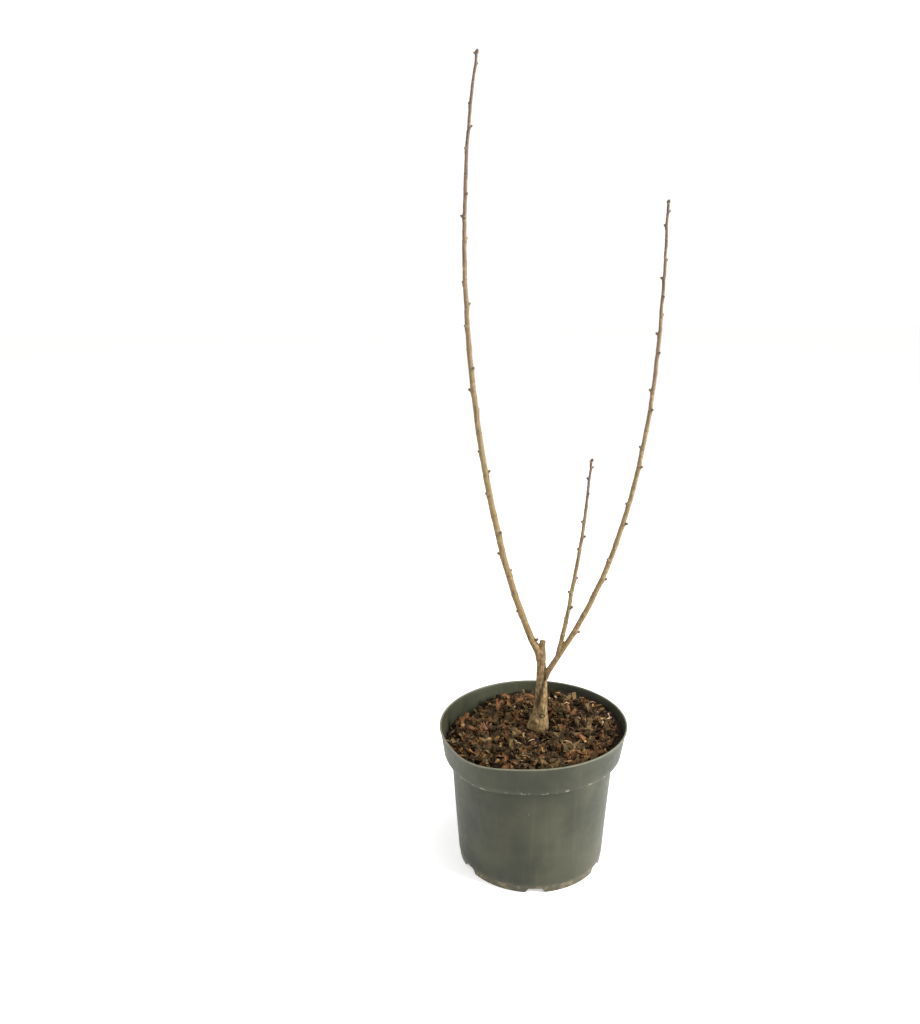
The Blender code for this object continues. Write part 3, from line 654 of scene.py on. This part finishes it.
def young_share(span):
    """How young the bark is: 0 beside the trunk, 1 from a few centimetres on."""
    share = min(1.0, max(0.0, (span - YOUNG_START) / YOUNG_RUN))
    return share * share * (3 - 2 * share)


def pointed(place, direction):
    """Stand something upright at a place and turn its top to a direction."""
    return Matrix.Translation(place) @ direction.to_track_quat("Z", "Y").to_matrix().to_4x4()


def lump(place, radius):
    """A knot or callus: a rounded lump that the remesh fuses on."""
    bpy.ops.mesh.primitive_uv_sphere_add(segments=16, ring_count=10, radius=radius, location=place)
    bpy.ops.object.transform_apply(location=True)
    return bpy.context.object


left = Shoot(LEFT_BEND, (0.0082, 0.0029), 0.024, 0.0218, 0.00014, 180, -135)
right = Shoot(RIGHT_BEND, (0.0068, 0.0028), 0.035, 0.0169, 0.00037, -102, 124)
middle = Shoot((bend_point(RIGHT_BEND, DIVISION),) + MIDDLE_BEND, (0.0054, 0.0028), 0.029,
               0.0180, 0.0, 220, 140)
trunk_path = walk(TRUNK_BEND)
trunk_reach = min(trunk_path[-1][0], TRUNK_REACH)
count = int(trunk_reach / PATH_STEP)
spans = [trunk_reach * index / count for index in range(count + 1)]
limbs = [tube("trunk_core", [at_distance(trunk_path, span)[0] for span in spans],
              [trunk_radius(span) for span in spans])]
for vertex in limbs[0].data.vertices:
    rise = vertex.co.z - TRUNK_FOOT.z
    away = vertex.co.xy - TRUNK_FOOT.xy
    flare = ROOT_FLARE * math.exp(-abs(rise) / FLARE_HEIGHT)
    away *= 1 + flare * math.cos(ROOT_LOBES * (math.atan2(away.y, away.x) - ROOT_TURN))
    if rise < 3 * FLARE_HEIGHT:
        vertex.co.x, vertex.co.y = TRUNK_FOOT.x + away.x, TRUNK_FOOT.y + away.y
limbs += [lump(TRUNK_FOOT + KNOT, KNOT_SIZE), lump(TRUNK_FOOT + CALLUS, CALLUS_SIZE)]
bpy.ops.mesh.primitive_torus_add(major_radius=RING_RADIUS, minor_radius=RING_THICKNESS,
                                 major_segments=20, minor_segments=8)
ring = bpy.context.object
ring.data.transform(Matrix.Translation(TRUNK_FOOT + KNOT + RING_SHIFT)
                    @ Matrix.Rotation(RING_TURN, 4, "X"))
limbs.append(ring)
# A mark is a place in a limb, how young the bark is there, its share of the way up the shoot and
# how near a bud is. The bark's surface takes these from its nearest mark.
marks = [(at_distance(trunk_path, span)[0], 0.0, 0.0, 0.0) for span in spans]
bud_spots = []
# Without a seed, noise_vector would start from another place on each run.
noise.seed_set(WOBBLE_SEED)
for shoot, root in ((left, at_distance(trunk_path, LEFT_ROOT)[0]), (right, None), (middle, None)):
    count = int(shoot.length / PATH_STEP)
    points, radii = ([root], [LEFT_ROOT_RADIUS]) if root else ([], [])
    for index in range(count + 1):
        span = shoot.length * index / count
        point, direction = at_distance(shoot.path, span)
        radius, near = shoot.radius(span), 0.0
        for place, turn in shoot.buds:
            close = math.exp(-((span - place) / NODE_LENGTH) ** 2)
            point = point + outward(direction, turn) * (KINK * close)
            near = max(near, close)
        drift = noise.noise_vector(point * WOBBLE_SCALE) * WOBBLE
        points.append(point + drift)
        radii.append(radius * (1 + NODE_SWELL * near))
        youth = young_share(span) if shoot is not middle else 1.0
        marks.append((point, youth, span / shoot.length, near))
    limbs.append(tube("limb_core", points, radii))
    for place, turn in shoot.buds:
        point, direction = at_distance(shoot.path, place)
        radius, age = shoot.radius(place), 1 - place / shoot.length
        reach = radius + SPUR_REACH + SPUR_AGED * age
        bpy.ops.mesh.primitive_cone_add(vertices=12, radius1=SPUR_FOOT * radius + SPUR_FILLET,
                                        radius2=SPUR_TIP + SPUR_TIP_AGED * age, depth=reach)
        spur = bpy.context.object
        aim = pointed(point, outward(direction, turn) + direction * SPUR_RISE)
        spur.data.transform(aim @ Matrix.Translation((0, 0, reach / 2)))
        limbs.append(spur)
        bud_spots.append((aim @ Matrix.Translation((0, 0, reach - BUD_SINK)), age))
    tip, direction = at_distance(shoot.path, shoot.length - CROWN_DROP)
    for index in range(CROWN):
        side = outward(direction, CROWN_TURN + index * 2 * math.pi / CROWN)
        aim = pointed(tip, CROWN_SPREAD * side + direction * SPUR_RISE)
        bud_spots.append((aim @ Matrix.Translation((0, 0, CROWN_REACH + CROWN_STEP * index)), 0.0))
bud_spots += [(pointed(spot, lean), FORK_BUD_AGE) for spot, lean in FORK_BUDS]
bark = join(limbs, "bark_and_shoots")
add_modifier(bark, "REMESH", mode="VOXEL", voxel_size=VOXEL)
add_modifier(bark, "SMOOTH", factor=0.5, iterations=3)
samples = kdtree.KDTree(len(marks))
for index, mark in enumerate(marks):
    samples.insert(mark[0], index)
samples.balance()
traits = {"shoot": [], "along": [], "bud": [], "crease": []}
normals = [vertex.normal.copy() for vertex in bark.data.vertices]
for index, vertex in enumerate(bark.data.vertices):
    _, nearest, _ = samples.find(vertex.co)
    _, is_shoot, share, near = marks[nearest]
    # How near a vertex lies to the crease under the right branch and to the ring round the knot. Both
    # are pressed in and darkened in the finish; the crease's darkening is painted shade.
    off = (vertex.co - CREASE_LINE[0]).cross(CREASE_DIRECTION).length / CREASE_WIDTH
    run = (vertex.co - CREASE_LINE[0]).dot(CREASE_DIRECTION) / CREASE_LENGTH
    ends = min(1.0, max(0.0, CREASE_FADE * run)) * min(1.0, max(0.0, CREASE_FADE * (1 - run)))
    fold = math.exp(-off * off) * ends
    around = vertex.co - TRUNK_FOOT - KNOT
    if around.y < RING_BACK:
        halo = (math.hypot(around.x, around.z) - RING_RADIUS) / RING_THICKNESS
        fold = max(fold, math.exp(-halo * halo))
    for values, value in zip(traits.values(), (is_shoot, share, near, fold)):
        values.append(value)
    vertex.co -= normals[index] * (CREASE_DEPTH * fold)
    ridges = noise.noise(vertex.co * RIDGES)
    warts = noise.noise(vertex.co * WART_SCALE)
    depth = RIDGE_DEPTH + TRUNK_DEPTH * (1 - is_shoot)
    vertex.co += normals[index] * (depth * (ridges + WART_SHARE * warts) + BUD_DEPTH * near * warts)
for name, values in traits.items():
    bark.data.attributes.new(name, "FLOAT", "POINT").data.foreach_set("value", values)
bpy.ops.object.select_all(action="DESELECT")
bark.select_set(True)
bpy.ops.object.shade_smooth()

TRUNK_DARK, TRUNK_PALE = (0.055, 0.033, 0.014), (0.330, 0.222, 0.098)
SHOOT_COLORS = ((0.0, (0.215, 0.140, 0.060)), (0.35, (0.210, 0.152, 0.070)),
                (0.70, (0.185, 0.126, 0.074)), (1.0, (0.125, 0.084, 0.064)))
# The second groove colour is painted shade in the crease under the right branch, and also darkens the
# ring round the knot.
GROOVE, CREASE_SHADE_AND_RING_COLOR = (0.055, 0.033, 0.021), (0.030, 0.018, 0.011)
LICHEN, YOUNG_PALE, PORE = (0.330, 0.300, 0.190), (0.400, 0.290, 0.155), (0.520, 0.430, 0.300)
SHOOT_STREAKS, TRUNK_STREAKS = (560, 560, 60), (1100, 1100, 90)
MOTTLE_SCALE, PORE_SCALE, WOOD_RELIEF, WOOD_SHINE = 190.0, 620.0, 0.0006, 0.20
wood, shader, place = start_finish("young_bark")
is_shoot, share, bud_ring, crease = [
    place.node("ShaderNodeAttribute", {"attribute_name": name}, {}, "Fac") for name in traits]
ridges = place.stretched(*SHOOT_STREAKS).grain(1.0, 4.0)
mottle = place.grain(MOTTLE_SCALE, 4.0)
young = share.ramp(SHOOT_COLORS)
young = (ridges.step(0.47, 0.30) * 0.60).mix(young, GROOVE)
young = (mottle.step(0.54, 0.70) * 0.40).mix(young, YOUNG_PALE)
young = (place.spots(PORE_SCALE).step(0.20, 0.10) * 0.35).mix(young, PORE)
young = (bud_ring.step(0.70, 1.00) * mottle.step(0.40, 0.60) * 0.45).mix(young, GROOVE)
fine = place.stretched(*TRUNK_STREAKS).grain(1.0, 4.0)
old = (0.6 * fine + 0.4 * mottle).step(0.32, 0.66).mix(TRUNK_DARK, TRUNK_PALE)
old = (mottle.step(0.60, 0.68) * 0.35).mix(old, LICHEN)
color = is_shoot.mix(old, young)
# Painted shade darkens the crease under the right branch; the same mask darkens the ring round the
# knot.
color = (crease * 0.95).mix(color, CREASE_SHADE_AND_RING_COLOR)
lay_on(shader, color, 0.55 + 0.3 * ridges, ridges + 0.7 * mottle, WOOD_RELIEF)
shader.inputs["Specular IOR Level"].default_value = WOOD_SHINE
bark.data.materials.append(wood)
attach(bark, "root")
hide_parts("trunk", "left_shoot", "right_shoot", "middle_shoot")

# Buds: blunt, scaly winter buds on their short spurs, with four more crowded at each tip and two
# in the fork. Most are grey-brown, and one in five has begun to show green.
BUD_SIZE, BUD_YOUNG, BUD_AGED, BUD_LENGTH, BUD_POINT = 0.00165, 0.72, 0.42, 1.35, 0.42
SCALES, SCALE_TURNS, SCALE_EDGE, SCALE_GRAIN, BUD_RELIEF = 9.0, 2, 0.10, 900.0, 0.0003
GREEN_EVERY, GREEN_FIRST = 5, 2
BUD_KINDS = (("brown_buds", (0.050, 0.032, 0.022), (0.170, 0.112, 0.072)),
             ("green_buds", (0.060, 0.056, 0.026), (0.200, 0.170, 0.075)))
bpy.ops.object.select_all(action="DESELECT")
bpy.ops.mesh.primitive_uv_sphere_add(segments=12, ring_count=9, radius=1.0)
bud_model = bpy.context.object
for vertex in bud_model.data.vertices:
    slim = 1 - BUD_POINT * max(0.0, vertex.co.z) ** 2
    around = math.atan2(vertex.co.y, vertex.co.x)
    slim *= 1 + SCALE_EDGE * math.sin(SCALES * vertex.co.z + SCALE_TURNS * around)
    vertex.co.x *= slim
    vertex.co.y *= slim
    vertex.co.z *= BUD_LENGTH
for (name, dark, light), is_green in zip(BUD_KINDS, (False, True)):
    spots = [matrix @ Matrix.Scale(BUD_SIZE * (BUD_YOUNG + BUD_AGED * age), 4)
             for index, (matrix, age) in enumerate(bud_spots)
             if (index % GREEN_EVERY == GREEN_FIRST) == is_green]
    buds = strew(name, [bud_model], spots)
    for face in buds.data.polygons:
        face.use_smooth = True
    finish, shader, place = start_finish(name)
    scales = place.grain(SCALE_GRAIN)
    lay_on(shader, scales.step(0.35, 0.65).mix(dark, light), 0.5 + 0.3 * scales, scales, BUD_RELIEF)
    buds.data.materials.append(finish)
    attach(buds, "root")
bpy.data.objects.remove(bud_model)

# Floor: a plain sheet of pale paper, about as bright as the surround, so that hardly an edge
# shows where the two meet.
FLOOR_SIZE, FLOOR_GLOW = 14.0, 0.42
PAPER = ((0.90, 0.90, 0.89), (0.93, 0.93, 0.92))
TOOTH_SCALE, TOOTH_RELIEF = 300.0, 0.0001
bpy.ops.mesh.primitive_plane_add(size=FLOOR_SIZE)
floor = bpy.context.object
floor.name = "floor"
paper, shader, place = start_finish("pale_paper")
tooth = place.grain(TOOTH_SCALE, 2.0)
lay_on(shader, tooth.mix(*PAPER), 0.85 + 0.1 * tooth, tooth, TOOTH_RELIEF)
shader.inputs["Emission Color"].default_value = (1.0, 1.0, 1.0, 1.0)
shader.inputs["Emission Strength"].default_value = FLOOR_GLOW
floor.data.materials.append(paper)

# Light: a white surround that looks brighter than the light it gives, and large soft lamps at
# both sides and above. The one at the right, to the front, is by far the brightest.
LAMPS = (("right_lamp", (1.5, -0.6, 1.0), 58.0, 0.8), ("left_lamp", (-1.7, -0.1, 0.9), 9.0, 0.9),
         ("top_lamp", (0.3, -0.3, 2.4), 14.0, 1.0))
SEEN_WHITE, SKY_LIGHT = 1.10, 0.62
AIM = Vector((0.02, 0.0, 0.35))
world = bpy.data.worlds.new("white_surround")
bpy.context.scene.world = world
world.use_nodes = True
sky = world.node_tree.nodes["Background"]
sky.inputs["Color"].default_value = (1.0, 1.0, 1.0, 1.0)
seen = world.node_tree.nodes.new("ShaderNodeLightPath")
seen = Wire(world.node_tree, seen.outputs["Is Camera Ray"])
strength = SKY_LIGHT + (SEEN_WHITE - SKY_LIGHT) * seen
world.node_tree.links.new(strength.socket, sky.inputs["Strength"])
for name, spot, power, size in LAMPS:
    light = bpy.data.lights.new(name, "AREA")
    light.energy, light.size = power, size
    lamp = bpy.data.objects.new(name, light)
    lamp.location = spot
    lamp.rotation_euler = (AIM - Vector(spot)).to_track_quat("-Z", "Y").to_euler()
    bpy.context.scene.collection.objects.link(lamp)

# Camera: at the photograph's height and distance, a little left of the pot and looking down.
LENS = 33.574
CAMERA_SPOT = Vector((-0.08233, -1.04119, 0.73978))
CAMERA_RIGHT = Vector((0.99990, -0.003816, -0.013310))
CAMERA_UP = Vector((0.013846, 0.27560, 0.96117))
view = bpy.data.cameras.new("camera")
view.lens, view.sensor_width = LENS, 36.0
camera = bpy.data.objects.new("camera", view)
turn = Matrix((CAMERA_RIGHT, CAMERA_UP, CAMERA_RIGHT.cross(CAMERA_UP))).transposed().to_4x4()
camera.matrix_world = Matrix.Translation(CAMERA_SPOT) @ turn
bpy.context.scene.collection.objects.link(camera)
bpy.context.scene.camera = camera
bpy.context.scene.view_settings.view_transform = "Standard"
